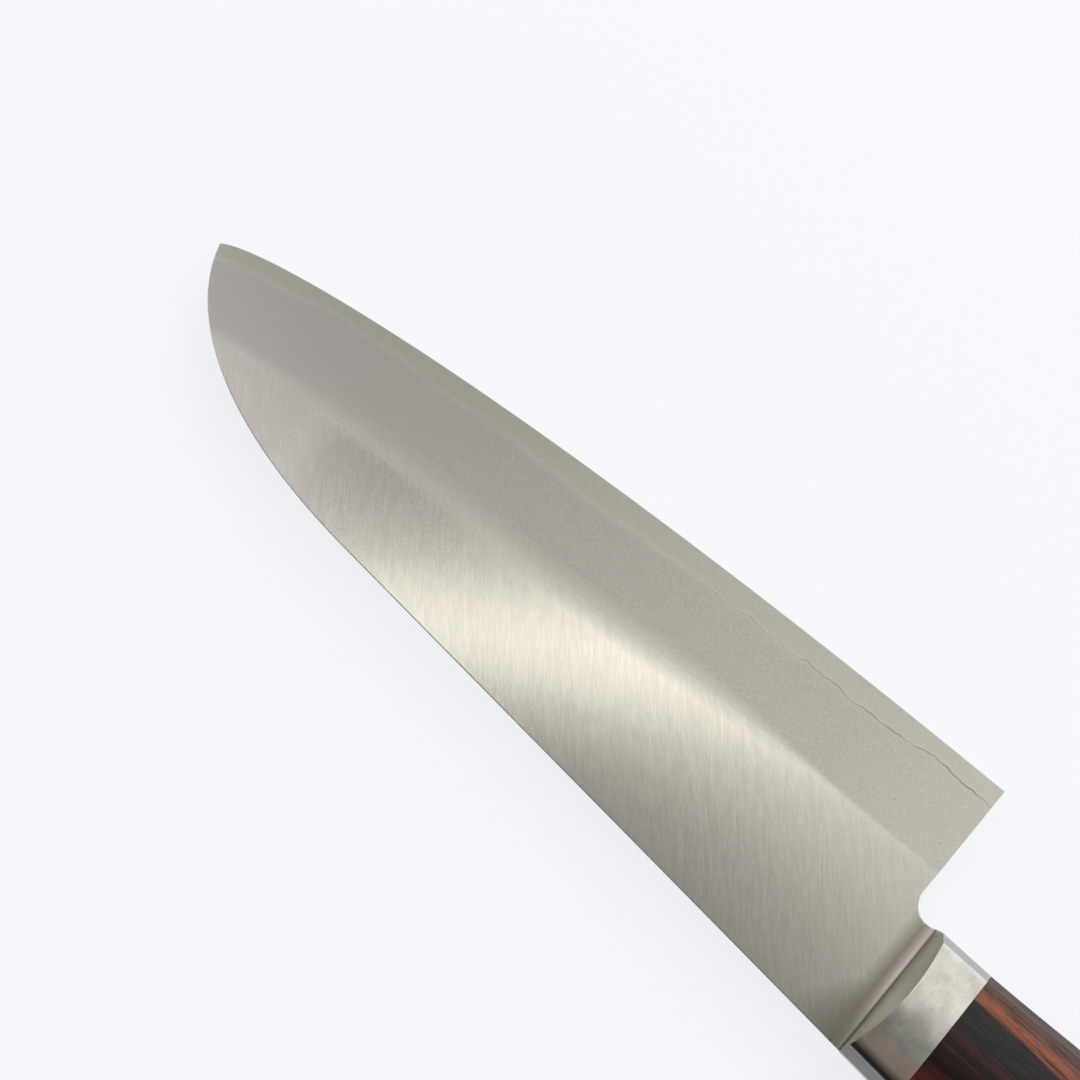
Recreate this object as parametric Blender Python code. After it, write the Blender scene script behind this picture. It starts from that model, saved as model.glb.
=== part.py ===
"""Santoku kitchen knife with a three-layer blade, a full tang, bolster halves, wooden scales and cutlery rivets.

Lengths are metres. The shapes are drawn in the knife's own frame: the heel's corner is at x = 0, y = 0,
+X runs towards the tip, +Y towards the spine, and z = 0 is the middle of the blade. An empty then lays the
knife on its left side, with its box centred over the origin.
"""

from math import cos, pi, radians, sin, sqrt, tan

import bmesh
import bpy
from mathutils import Vector

# Blade outline
BLADE_LENGTH = 0.1638
HEEL_HEIGHT = 0.0466
TIP_HEIGHT = 0.0242
EDGE_STRAIGHT_RUN = 0.1003
EDGE_STRAIGHT_RISE = 0.0065
EDGE_TIP_RUN = 0.0065
EDGE_TIP_RISE = 0.0055
SPINE_CURVE_LENGTH = 0.0587
SPINE_CURVE_EASE = 0.0403
TIP_CURVE_RUN = 0.0040
TIP_CURVE_RISE = 0.0088
HEEL_LEAN = radians(5.0)
CHOIL_RADIUS = 0.0036

# Blade layers and grind
BLADE_THICKNESS = 0.0020
CORE_THICKNESS = 0.00055
EDGE_THICKNESS = 0.0001
BEVEL_HEIGHT = 0.0168
TANG_RELIEF = 0.0001

# Bolster
BOLSTER_SETBACK = 0.00716
BOLSTER_LENGTH = 0.0103
BOLSTER_LEAN = radians(5.2)
RIM_DEPTH = 0.0027
RIM_DEEPEST_SHARE = 0.38
FILLET_RUN = 0.0020
FILLET_HEIGHT = 0.0007

# Handle outline, measured back from the bolster's front and down from the spine
HANDLE_LENGTH = 0.1210
BOLSTER_DEPTH = 0.02355
SWELL_BACK = 0.0480
SWELL_DEPTH = 0.0265
WAIST_BACK = 0.0840
WAIST_DEPTH = 0.0248
BUTT_DEPTH = 0.0284
BUTT_TOP_RUN = 0.0450
BUTT_TOP_DROP = 0.0026
BUTT_RADIUS = 0.0070
BUTT_EASE = 0.0012

# Handle cross-section
HANDLE_THICKNESS = 0.0155
FLANK_LAND = 0.0070
FLANK_CROWN = 0.00135
SPINE_CORNER_RUN = 0.0017
BELLY_CORNER_RUN = 0.0012
CORNER_DROP = 0.0020

# Rivets
RIVET_COUNT = 3
RIVET_BACK = 0.0345
RIVET_PITCH = 0.0310
RIVET_HEAD_RADIUS = 0.00325
RIVET_HEAD_THICKNESS = 0.0016
RIVET_HEAD_SINK = 0.00005
RIVET_TUBE_RADIUS = 0.0025
RIVET_SHANK_RADIUS = 0.0016

# Clearances
LAYER_GAP = 0.00003
SEAT_GAP = 0.00003
JOINT_GAP = 0.00005
RIVET_GAP = 0.00005
RIVET_END_GAP = 0.0003

# Mesh resolution and the margin that cutters reach past what they cut
EDGE_STEPS = 26
SPINE_STEPS = 18
CHOIL_STEPS = 8
FLANK_STEPS = 4
GRIP_STEPS = 18
BUTT_STEPS = 5
FILLET_STEPS = 4
ROUND_STEPS = 24
CUT_MARGIN = 0.0020

# Values worked out from the sizes above
BLADE_HALF = BLADE_THICKNESS / 2
CORE_HALF = CORE_THICKNESS / 2
EDGE_HALF = EDGE_THICKNESS / 2
HANDLE_HALF = HANDLE_THICKNESS / 2
CORNER_Z = HANDLE_HALF - FLANK_CROWN
FACE_Z = CORNER_Z - CORNER_DROP
SEAT_Z = BLADE_HALF - TANG_RELIEF + SEAT_GAP
SEAM_X = -BOLSTER_SETBACK
BOLSTER_REAR_X = SEAM_X - BOLSTER_LENGTH
BUTT_X = SEAM_X - HANDLE_LENGTH


def clear_scene():
    for item in list(bpy.data.objects):
        bpy.data.objects.remove(item, do_unlink=True)


def make_material(name, colour, metallic, roughness):
    material = bpy.data.materials.new(name)
    material.use_nodes = True
    shader = material.node_tree.nodes["Principled BSDF"]
    shader.inputs["Base Color"].default_value = (*colour, 1.0)
    shader.inputs["Metallic"].default_value = metallic
    shader.inputs["Roughness"].default_value = roughness
    material.diffuse_color = (*colour, 1.0)
    return material


def add_object(name, bm, material, parent):
    """Writes a bmesh to a new object with outward faces, and puts it under the knife's empty."""
    bmesh.ops.remove_doubles(bm, verts=bm.verts, dist=1e-7)
    bmesh.ops.recalc_face_normals(bm, faces=bm.faces)
    mesh = bpy.data.meshes.new(name)
    bm.to_mesh(mesh)
    bm.free()
    if material:
        mesh.materials.append(material)
    mesh.shade_smooth()
    mesh.set_sharp_from_angle(angle=radians(25))
    item = bpy.data.objects.new(name, mesh)
    item.parent = parent
    bpy.context.scene.collection.objects.link(item)
    return item


def as_cutter(item):
    item.hide_render = True
    item.display_type = "WIRE"
    return item


def cut(target, cutter):
    boolean = target.modifiers.new("Cut by " + cutter.name, "BOOLEAN")
    boolean.operation = "DIFFERENCE"
    boolean.solver = "EXACT"
    boolean.object = cutter


def bezier(start, leave, arrive, end, steps):
    """Points of a cubic Bezier curve, both ends included."""
    points = []
    for step in range(steps + 1):
        t = step / steps
        s = 1 - t
        points.append(start * s**3 + leave * 3 * s**2 * t + arrive * 3 * s * t**2 + end * t**3)
    return points


def ease(share):
    """Smooth change from 0 to 1, flat at both ends."""
    share = min(max(share, 0.0), 1.0)
    return share * share * (3 - 2 * share)


def edge_curve():
    """The cutting edge, from the heel's corner to the tip."""
    heel = Vector((0, 0))
    tip = Vector((BLADE_LENGTH, TIP_HEIGHT))
    leave = Vector((EDGE_STRAIGHT_RUN, EDGE_STRAIGHT_RISE))
    arrive = tip - Vector((EDGE_TIP_RUN, EDGE_TIP_RISE))
    return bezier(heel, leave, arrive, tip, EDGE_STEPS)


def spine_curve():
    """The spine's fall to the tip, from the tip back to where the spine is straight."""
    tip = Vector((BLADE_LENGTH, TIP_HEIGHT))
    straight = Vector((BLADE_LENGTH - SPINE_CURVE_LENGTH, HEEL_HEIGHT))
    leave = tip + Vector((-TIP_CURVE_RUN, TIP_CURVE_RISE))
    arrive = straight + Vector((SPINE_CURVE_EASE, 0))
    return bezier(tip, leave, arrive, straight, SPINE_STEPS)


def handle_belly(x):
    """Height of the handle's lower line: a swell, a waist and a flare towards the butt."""
    back = SEAM_X - x
    if back <= SWELL_BACK:
        depth = BOLSTER_DEPTH + (SWELL_DEPTH - BOLSTER_DEPTH) * ease(back / SWELL_BACK)
    elif back <= WAIST_BACK:
        share = (back - SWELL_BACK) / (WAIST_BACK - SWELL_BACK)
        depth = SWELL_DEPTH + (WAIST_DEPTH - SWELL_DEPTH) * ease(share)
    else:
        share = (back - WAIST_BACK) / (HANDLE_LENGTH - WAIST_BACK)
        depth = WAIST_DEPTH + (BUTT_DEPTH - WAIST_DEPTH) * ease(share)
    return HEEL_HEIGHT - depth


def handle_top(x):
    """Height of the handle's upper line, which falls a little towards the butt."""
    return HEEL_HEIGHT - BUTT_TOP_DROP * ease(1 - (x - BUTT_X) / BUTT_TOP_RUN)


def choil_centre():
    """Centre of the arc that touches the heel's rear edge and ends at the bolster's lower front corner."""
    along = Vector((-sin(HEEL_LEAN), cos(HEEL_LEAN)))
    back = Vector((-cos(HEEL_LEAN), -sin(HEEL_LEAN)))
    corner = Vector((SEAM_X, handle_belly(SEAM_X)))
    to_corner = corner - back * CHOIL_RADIUS
    middle = to_corner.dot(along)
    off_line = to_corner.dot(back)
    reach = sqrt(CHOIL_RADIUS**2 - off_line**2)
    return back * CHOIL_RADIUS + along * (middle - reach)


def choil_arc():
    """Points from the heel's rear edge round to the bolster's lower front corner."""
    centre = choil_centre()
    first = HEEL_LEAN
    to_corner = Vector((SEAM_X, handle_belly(SEAM_X))) - centre
    last = pi / 2 + Vector((0, 1)).angle(to_corner)
    points = []
    for step in range(CHOIL_STEPS + 1):
        angle = first + (last - first) * step / CHOIL_STEPS
        points.append(centre + Vector((cos(angle), sin(angle))) * CHOIL_RADIUS)
    return points


def neck_underside(x):
    """Height of the blade's lower line just in front of the bolster, on the choil's arc."""
    centre = choil_centre()
    off_centre = min(x - centre.x, 0.0)
    return centre.y + sqrt(max(CHOIL_RADIUS**2 - off_centre**2, 0.0))


def corner_to_land(corner_run, arc_run, lowered):
    """One side of a cross-section as (run, z): upright face, broken corner, crowned flank up to the flat land."""
    radius = (arc_run**2 + FLANK_CROWN**2) / (2 * FLANK_CROWN)
    side = [(0.0, SEAT_Z), (0.0, FACE_Z - lowered)]
    for step in range(FLANK_STEPS + 1):
        off_land = arc_run * (1 - step / FLANK_STEPS)
        fall = radius - sqrt(radius**2 - off_land**2)
        side.append((corner_run + arc_run - off_land, HANDLE_HALF - fall - lowered))
    return side


def section(x_belly, lean, inset=0.0, lowered=0.0):
    """Cross-section of the right handle half, from the spine side to the belly side.

    It lies on an upright plane that crosses the lower line at x_belly and leans back by the angle lean.
    """
    belly = handle_belly(x_belly)
    slope = tan(lean)
    top = handle_top(x_belly - slope * (HEEL_HEIGHT - belly))
    half = (top - belly) / 2
    spine_side = corner_to_land(SPINE_CORNER_RUN, half - SPINE_CORNER_RUN - FLANK_LAND / 2, lowered)
    belly_side = corner_to_land(BELLY_CORNER_RUN, half - BELLY_CORNER_RUN - FLANK_LAND / 2, lowered)
    narrowed = (half - inset) / half
    outline = [(top - inset - run * narrowed, z) for run, z in spine_side]
    outline += [(belly + inset + run * narrowed, z) for run, z in reversed(belly_side)]
    return [Vector((x_belly - slope * (y - belly), y, z)) for y, z in outline]


def grip_sections():
    """Cross-sections of one wooden scale, from the bolster back to the butt."""
    front = BOLSTER_REAR_X - JOINT_GAP
    round_start = BUTT_X + BUTT_RADIUS
    sections = []
    for step in range(GRIP_STEPS):
        share = step / GRIP_STEPS
        sections.append(section(front + (round_start - front) * share, BOLSTER_LEAN * (1 - ease(2 * share))))
    for step in range(BUTT_STEPS + 1):
        angle = pi / 2 * step / BUTT_STEPS
        x = BUTT_X + BUTT_RADIUS * (1 - sin(angle))
        share = 1 - cos(angle)
        sections.append(section(x, 0.0, BUTT_RADIUS * share, BUTT_EASE * share))
    return sections


def knife_outline():
    """Outline of the blade and its full tang in one, counter-clockwise from the heel's corner."""
    sections = grip_sections()
    grip_top = [Vector((ring[0].x, ring[0].y)) for ring in reversed(sections)]
    grip_belly = [Vector((ring[-1].x, ring[-1].y)) for ring in sections]
    bolster_rear = section(BOLSTER_REAR_X, BOLSTER_LEAN)
    points = edge_curve()
    points += spine_curve()[1:]
    points += reversed(grip_top)
    points += reversed(grip_belly)
    points += [Vector((bolster_rear[-1].x, bolster_rear[-1].y))]
    points += reversed(choil_arc())
    return points


def prism(outline, low, high):
    bm = bmesh.new()
    face = bm.faces.new([bm.verts.new((p.x, p.y, low)) for p in outline])
    grown = bmesh.ops.extrude_face_region(bm, geom=[face])
    top = [v for v in grown["geom"] if isinstance(v, bmesh.types.BMVert)]
    bmesh.ops.translate(bm, verts=top, vec=(0, 0, high - low))
    return bm


def join_rings(bm, rings):
    for first, second in zip(rings, rings[1:]):
        count = len(first)
        for k in range(count - 1):
            bm.faces.new((first[k], first[k + 1], second[k + 1], second[k]))


def bevel_cutter(name, side, parent):
    """The steel that grinding takes from one flank: a wedge that follows the edge."""
    steep = (BLADE_HALF - EDGE_HALF) / BEVEL_HEIGHT
    edge = edge_curve()
    behind = edge[0] + (edge[0] - edge[1]).normalized() * (BOLSTER_SETBACK + FILLET_RUN)
    beyond = edge[-1] + (edge[-1] - edge[-2]).normalized() * BEVEL_HEIGHT
    reach = BEVEL_HEIGHT + CUT_MARGIN
    bm = bmesh.new()
    rings = []
    for point in [behind, *edge, beyond]:
        low = Vector((point.x, point.y - CUT_MARGIN, EDGE_HALF - steep * CUT_MARGIN))
        high = Vector((point.x, point.y + reach, EDGE_HALF + steep * reach))
        outer = Vector((point.x, point.y - CUT_MARGIN, high.z))
        rings.append([bm.verts.new((p.x, p.y, side * p.z)) for p in (low, high, outer)])
    for first, second in zip(rings, rings[1:]):
        for k in range(3):
            j = (k + 1) % 3
            bm.faces.new((first[k], first[j], second[j], second[k]))
    bm.faces.new(rings[0])
    bm.faces.new(reversed(rings[-1]))
    bmesh.ops.triangulate(bm, faces=bm.faces)
    return as_cutter(add_object(name, bm, None, parent))


def relief_cutter(name, side, parent):
    """The shallow step that lowers the tang where the bolster and the scale are let into it."""
    slope = tan(BOLSTER_LEAN)
    front = SEAM_X + FILLET_RUN + JOINT_GAP
    foot = handle_belly(SEAM_X)
    low_y = min(handle_belly(SEAM_X - SWELL_BACK), handle_belly(BUTT_X)) - CUT_MARGIN
    high_y = HEEL_HEIGHT + CUT_MARGIN
    rear = BUTT_X - CUT_MARGIN
    outline = [
        Vector((front - slope * (low_y - foot), low_y)),
        Vector((front - slope * (high_y - foot), high_y)),
        Vector((rear, high_y)),
        Vector((rear, low_y)),
    ]
    inner = side * (BLADE_HALF - TANG_RELIEF)
    outer = side * (BLADE_HALF + CUT_MARGIN)
    bm = prism(outline, min(inner, outer), max(inner, outer))
    return as_cutter(add_object(name, bm, None, parent))


def rivet_places():
    """Centres of the rivets, midway between the handle's upper and lower lines."""
    places = []
    for index in range(RIVET_COUNT):
        x = SEAM_X - RIVET_BACK - RIVET_PITCH * index
        places.append(Vector((x, (handle_top(x) + handle_belly(x)) / 2)))
    return places


def turned(bm, profile, place):
    """Adds a solid turned about an upright axis. The profile runs from axis to axis as (radius, z)."""
    rings = []
    for radius, z in profile:
        if radius == 0:
            rings.append([bm.verts.new((place.x, place.y, z))])
            continue
        ring = []
        for step in range(ROUND_STEPS):
            angle = 2 * pi * step / ROUND_STEPS
            ring.append(bm.verts.new((place.x + radius * cos(angle), place.y + radius * sin(angle), z)))
        rings.append(ring)
    for first, second in zip(rings, rings[1:]):
        for step in range(ROUND_STEPS):
            after = (step + 1) % ROUND_STEPS
            if len(first) == 1:
                bm.faces.new((first[0], second[step], second[after]))
            elif len(second) == 1:
                bm.faces.new((first[step], second[0], first[after]))
            else:
                bm.faces.new((first[step], second[step], second[after], first[after]))


def rivet_hole_cutter(parent):
    """Stepped holes for every rivet, through the tang and both scales."""
    bore = RIVET_TUBE_RADIUS + RIVET_GAP
    head = RIVET_HEAD_RADIUS + RIVET_GAP
    shoulder = HANDLE_HALF - RIVET_HEAD_THICKNESS - RIVET_HEAD_SINK - RIVET_GAP
    outer = HANDLE_HALF + CUT_MARGIN
    bm = bmesh.new()
    for place in rivet_places():
        profile = [(0, -outer), (head, -outer), (head, -shoulder), (bore, -shoulder)]
        profile += [(bore, shoulder), (head, shoulder), (head, outer), (0, outer)]
        turned(bm, profile, place)
    return as_cutter(add_object("rivet_holes", bm, None, parent))


def make_core(material, parent, bevels, holes):
    core = add_object("core_steel", prism(knife_outline(), -CORE_HALF, CORE_HALF), material, parent)
    for bevel in bevels:
        cut(core, bevel)
    cut(core, holes)
    return core


def make_cladding(name, side, material, parent, bevel, relief, holes):
    inner = side * (CORE_HALF + LAYER_GAP)
    outer = side * BLADE_HALF
    bm = prism(knife_outline(), min(inner, outer), max(inner, outer))
    cladding = add_object(name, bm, material, parent)
    cut(cladding, bevel)
    cut(cladding, relief)
    cut(cladding, holes)
    return cladding


def rim_setback(share):
    """How far the front face's outer rim lies behind the seam, at a share of the height from the belly."""
    off_deepest = (share - RIM_DEEPEST_SHARE) / (1 - RIM_DEEPEST_SHARE)
    return RIM_DEPTH * (1 - off_deepest**2)


def bolster_rings():
    """Rings of the right bolster half: rear face, rim, foot of the sloped front face, fillet and toe."""
    rear = section(BOLSTER_REAR_X, BOLSTER_LEAN)
    seam = section(SEAM_X, BOLSTER_LEAN)
    last = len(seam) - 1
    belly = seam[last].y
    height = seam[0].y - belly
    rim = []
    foot = []
    for k, point in enumerate(seam):
        share = (point.y - belly) / height
        on_flank = 1 < k < last - 1
        rise = 1.0 if on_flank else (point.z - SEAT_Z) / (CORNER_Z - SEAT_Z)
        back = rim_setback(share) * rise
        rim_belly = handle_belly(SEAM_X - back)
        rim.append(Vector((point.x - back, rim_belly + (seam[0].y - rim_belly) * share, point.z)))
        foot_z = SEAT_Z if k in (0, last) else BLADE_HALF + FILLET_HEIGHT
        foot.append(Vector((point.x, point.y, foot_z)))
    rings = [rear, rim, foot]
    for step in range(1, FILLET_STEPS + 1):
        angle = pi / 2 * step / FILLET_STEPS
        forward = FILLET_RUN * (1 - cos(angle))
        low = neck_underside(seam[last].x + forward)
        ring = []
        for k, point in enumerate(seam):
            share = (point.y - belly) / height
            z = SEAT_Z if k in (0, last) else BLADE_HALF + FILLET_HEIGHT * (1 - sin(angle))
            ring.append(Vector((point.x + forward, low + (seam[0].y - low) * share, z)))
        rings.append(ring)
    rings.append([Vector((point.x, point.y, SEAT_Z)) for point in rings[-1]])
    return rings


def make_bolster(name, side, material, parent):
    """One bolster half. It is let into the tang, and its ground fillet runs out level with the blade."""
    bm = bmesh.new()
    rings = [[bm.verts.new((p.x, p.y, side * p.z)) for p in ring] for ring in bolster_rings()]
    join_rings(bm, rings)
    bm.faces.new(rings[0])
    toe = rings[-1]
    before_toe = rings[:-1]
    underside = [ring[0] for ring in before_toe]
    underside += toe
    underside += [ring[-1] for ring in reversed(before_toe)]
    bm.faces.new(underside)
    return add_object(name, bm, material, parent)


def make_scale(name, side, material, parent, holes):
    """One wooden scale, shaped like the bolster where they meet."""
    bm = bmesh.new()
    rings = [[bm.verts.new((p.x, p.y, side * p.z)) for p in ring] for ring in grip_sections()]
    join_rings(bm, rings)
    for first, second in zip(rings, rings[1:]):
        bm.faces.new((first[-1], first[0], second[0], second[-1]))
    bm.faces.new(rings[0])
    bm.faces.new(rings[-1])
    scale = add_object(name, bm, material, parent)
    cut(scale, holes)
    return scale


def make_rivet(index, place, material, parent):
    """A cutlery rivet: a headed shank from the right side, pressed into a headed tube from the left side."""
    head_top = HANDLE_HALF - RIVET_HEAD_SINK
    head_under = head_top - RIVET_HEAD_THICKNESS
    bore = RIVET_SHANK_RADIUS + RIVET_GAP
    bore_floor = -head_under
    shank = bmesh.new()
    profile = [(0, bore_floor + RIVET_END_GAP), (RIVET_SHANK_RADIUS, bore_floor + RIVET_END_GAP)]
    profile += [(RIVET_SHANK_RADIUS, head_under), (RIVET_HEAD_RADIUS, head_under)]
    profile += [(RIVET_HEAD_RADIUS, head_top), (0, head_top)]
    turned(shank, profile, place)
    add_object(f"rivet_{index}_shank", shank, material, parent)
    tube = bmesh.new()
    mouth = head_under - RIVET_END_GAP
    profile = [(0, -head_top), (RIVET_HEAD_RADIUS, -head_top), (RIVET_HEAD_RADIUS, bore_floor)]
    profile += [(RIVET_TUBE_RADIUS, bore_floor), (RIVET_TUBE_RADIUS, mouth)]
    profile += [(bore, mouth), (bore, bore_floor), (0, bore_floor)]
    turned(tube, profile, place)
    add_object(f"rivet_{index}_tube", tube, material, parent)


def build_knife():
    clear_scene()
    knife = bpy.data.objects.new("knife", None)
    knife.location = (-(BLADE_LENGTH + BUTT_X) / 2, -HEEL_HEIGHT / 2, HANDLE_HALF)
    bpy.context.scene.collection.objects.link(knife)

    core_look = make_material("core steel", (0.60, 0.60, 0.57), 1.0, 0.40)
    cladding_look = make_material("cladding steel", (0.56, 0.55, 0.52), 1.0, 0.34)
    bolster_look = make_material("bolster steel", (0.66, 0.65, 0.62), 1.0, 0.22)
    wood_look = make_material("laminated wood", (0.20, 0.07, 0.05), 0.0, 0.35)
    rivet_look = make_material("rivet steel", (0.62, 0.61, 0.58), 1.0, 0.25)

    bevels = [bevel_cutter("bevel_right", 1, knife), bevel_cutter("bevel_left", -1, knife)]
    reliefs = [relief_cutter("relief_right", 1, knife), relief_cutter("relief_left", -1, knife)]
    holes = rivet_hole_cutter(knife)

    make_core(core_look, knife, bevels, holes)
    for name, side, bevel, relief in zip(("right", "left"), (1, -1), bevels, reliefs):
        make_cladding("cladding_" + name, side, cladding_look, knife, bevel, relief, holes)
        make_bolster("bolster_" + name, side, bolster_look, knife)
        make_scale("scale_" + name, side, wood_look, knife, holes)
    for index, place in enumerate(rivet_places(), start=1):
        make_rivet(index, place, rivet_look, knife)


build_knife()
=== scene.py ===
"""Santoku kitchen knife lying on its left side, dressed for the studio.

Sizes are written in millimetres in the knife's own frame: the heel's corner is at x = 0, y = 0, +x runs
towards the tip, +y towards the spine, and z = 0 is the middle of the blade.
"""

from math import cos, pi, radians, sin, sqrt, tan

import bmesh
import bpy
import numpy as np
from mathutils import Matrix, Vector
from mathutils.geometry import delaunay_2d_cdt


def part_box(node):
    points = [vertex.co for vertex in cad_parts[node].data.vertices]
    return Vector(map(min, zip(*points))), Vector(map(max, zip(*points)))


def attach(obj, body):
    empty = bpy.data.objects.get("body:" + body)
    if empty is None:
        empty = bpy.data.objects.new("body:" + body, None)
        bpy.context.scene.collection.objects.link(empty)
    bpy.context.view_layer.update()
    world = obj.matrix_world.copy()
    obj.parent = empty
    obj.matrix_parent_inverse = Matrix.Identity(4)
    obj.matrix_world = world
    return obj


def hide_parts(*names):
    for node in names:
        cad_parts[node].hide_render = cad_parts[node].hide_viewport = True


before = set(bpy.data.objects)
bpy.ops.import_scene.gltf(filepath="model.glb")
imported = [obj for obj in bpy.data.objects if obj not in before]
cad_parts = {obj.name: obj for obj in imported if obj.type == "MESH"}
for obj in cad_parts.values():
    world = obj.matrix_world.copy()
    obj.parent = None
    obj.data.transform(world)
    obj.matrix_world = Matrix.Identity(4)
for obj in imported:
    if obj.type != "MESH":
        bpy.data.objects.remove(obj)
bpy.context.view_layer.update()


# Core steel
# The hard middle layer of the blade, one plate from the tip to the end of the full tang. Two softer layers
# are forge-welded to it. Grinding both flanks to a wedge bares it in a band along the cutting edge.
BLADE_LENGTH = 163.8
HEEL_HEIGHT = 46.6
TIP_HEIGHT = 24.2
BLADE_HALF = 1.0
EDGE_HALF = 0.025
BEVEL_HEIGHT = 16.8
BEVEL_SWELL = 1.5
BEVEL_SWELL_X = 78
BEVEL_SWELL_RUN = 26
HEEL_LEAN = radians(5.0)
CHOIL_RADIUS = 3.6
SEAM_X = -7.16
BUTT_X = -128.16
BUTT_RADIUS = 7.0
TANG_RELIEF = 0.1
TOE_RUN = 2.0
BOLSTER_LEAN = radians(5.2)
HANDLE_DEPTHS = ((0, 23.55), (48, 26.5), (84, 24.8), (121, 28.4))
BUTT_DROP = 2.6
BUTT_DROP_RUN = 45

core_low, core_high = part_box("core_steel")
HEEL = Vector((core_high.x - BLADE_LENGTH / 1000, core_low.y, (core_low.z + core_high.z) / 2))


def placed(points):
    """World places, in metres, of points given in millimetres in the knife's frame."""
    return np.asarray(points, float) / 1000 + np.array(HEEL)


def bezier(start, leave, arrive, end, steps):
    t = np.linspace(0, 1, steps + 1)[:, None]
    s = 1 - t
    corners = [np.array(p, float) for p in (start, leave, arrive, end)]
    return corners[0] * s**3 + corners[1] * 3 * s**2 * t + corners[2] * 3 * s * t**2 + corners[3] * t**3


def ease(share):
    """Smooth change from 0 to 1, flat at both ends."""
    share = np.clip(share, 0, 1)
    return share * share * (3 - 2 * share)


TIP = (BLADE_LENGTH, TIP_HEIGHT)
EDGE_LINE = bezier((0, 0), (100.3, 6.5), (157.3, 18.7), TIP, 230)
SPINE_FALL = bezier(TIP, (159.8, 33.0), (145.4, HEEL_HEIGHT), (105.1, HEEL_HEIGHT), 110)


def above_edge(x, y):
    """Height of a point above the cutting edge, whose line runs on straight behind the heel."""
    slope = EDGE_LINE[1, 1] / EDGE_LINE[1, 0]
    return y - np.where(x < 0, slope * x, np.interp(x, *EDGE_LINE.T))


def handle_depth(back):
    """Depth of the handle below the spine: a swell behind the bolster, a waist and a flare to the butt."""
    depth = HANDLE_DEPTHS[0][1]
    for (start, before), (end, after) in zip(HANDLE_DEPTHS, HANDLE_DEPTHS[1:]):
        depth = depth + (after - before) * ease((back - start) / (end - start))
    return depth


def handle_belly(x):
    return HEEL_HEIGHT - handle_depth(SEAM_X - np.asarray(x, float))


def handle_top(x):
    return HEEL_HEIGHT - BUTT_DROP * ease(1 - (np.asarray(x, float) - BUTT_X) / BUTT_DROP_RUN)


def choil():
    """Centre of the arc between the heel's rear edge and the bolster's lower front corner, and its points."""
    along = np.array([-sin(HEEL_LEAN), cos(HEEL_LEAN)])
    back = np.array([-cos(HEEL_LEAN), -sin(HEEL_LEAN)])
    corner = np.array([SEAM_X, float(handle_belly(SEAM_X))])
    to_corner = corner - back * CHOIL_RADIUS
    reach = sqrt(CHOIL_RADIUS**2 - (to_corner @ back) ** 2)
    centre = back * CHOIL_RADIUS + along * (to_corner @ along - reach)
    off = corner - centre
    angles = np.linspace(HEEL_LEAN, np.arctan2(off[1], off[0]), 28)
    return centre, centre + CHOIL_RADIUS * np.stack([np.cos(angles), np.sin(angles)], 1)


CHOIL_CENTRE, CHOIL_ARC = choil()


def steel_outline():
    """Outline of the blade and its full tang in one, counter-clockwise from the heel's corner."""
    turn = np.linspace(0, pi / 2, 10)
    butt_x = BUTT_X + BUTT_RADIUS * (1 - np.sin(turn))
    inset = BUTT_RADIUS * (1 - np.cos(turn))
    top_x = np.linspace(104.5, BUTT_X + BUTT_RADIUS, 240)[:-1]
    belly_x = np.linspace(BUTT_X + BUTT_RADIUS, SEAM_X, 120)[1:-1]
    rear = np.linspace(0, 1, 22)[1:-1, None]
    parts = [
        EDGE_LINE,
        SPINE_FALL[1:],
        np.stack([top_x, handle_top(top_x)], 1),
        np.stack([butt_x, handle_top(butt_x) - inset], 1),
        np.stack([butt_x, handle_belly(butt_x) + inset], 1)[::-1],
        np.stack([belly_x, handle_belly(belly_x)], 1),
        CHOIL_ARC[::-1],
        CHOIL_ARC[0] * (1 - rear),
    ]
    return np.concatenate(parts)


# Heights of the line above the edge on the right flank, from the heel to the tip. On the left flank they run
# the other way.
LINE_PITCH = 3.0
LINE_HEIGHTS = (
    3.2, 3.1, 3.2, 2.8, 2.7, 3.5, 3.7, 3.9, 3.8, 4.3, 3.6, 3.9, 3.6, 4.4, 3.8, 4.1, 3.6,
    4.6, 4.3, 3.8, 4.0, 3.9, 4.3, 4.3, 4.1, 4.5, 4.5, 4.6, 4.4, 4.2, 4.2, 4.2, 3.9, 3.6,
    3.8, 3.6, 3.7, 4.0, 3.9, 3.7, 3.5, 2.9, 3.0, 3.0, 3.3, 2.7, 2.6, 2.9, 3.2, 3.6, 3.4)
LINE_PLACES = np.arange(len(LINE_HEIGHTS)) * LINE_PITCH


def by_line(x):
    """The place nearest to x at which the line's height is given."""
    return np.clip(x, 0, LINE_PLACES[-1])


def line_height(x, side):
    """Height above the edge at which the core comes out from under the cladding. The line wanders."""
    x = by_line(x)
    height = np.interp(x, LINE_PLACES, LINE_HEIGHTS[::side])
    for length, size in ((2.3, 0.07), (1.3, 0.04)):
        height = height + size * np.sin(2 * pi * x / length + 0.9 * np.sin(x / length))
    return height


def bevel_height(x):
    return BEVEL_HEIGHT + BEVEL_SWELL * np.exp(-(((x - BEVEL_SWELL_X) / BEVEL_SWELL_RUN) ** 2))


def wedge_half(height, x):
    """Half thickness of the ground wedge at a height above the edge."""
    return EDGE_HALF + (BLADE_HALF - EDGE_HALF) * height / bevel_height(x)


def shoulder_softness(x):
    """How far the wheel rounds the shoulder: crisp near the heel and softer along the blade."""
    return 0.03 + 0.17 * ease((x - 12) / 45) - 0.08 * ease((x - 120) / 25)


def ground_half(x, y):
    """Half thickness that the wheel leaves at a point of the flank."""
    wedge = wedge_half(above_edge(x, y), x)
    soft = shoulder_softness(x)
    overlap = np.maximum(soft - np.abs(wedge - BLADE_HALF), 0) / soft
    return np.minimum(wedge, BLADE_HALF) - overlap**3 * soft / 6


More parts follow.
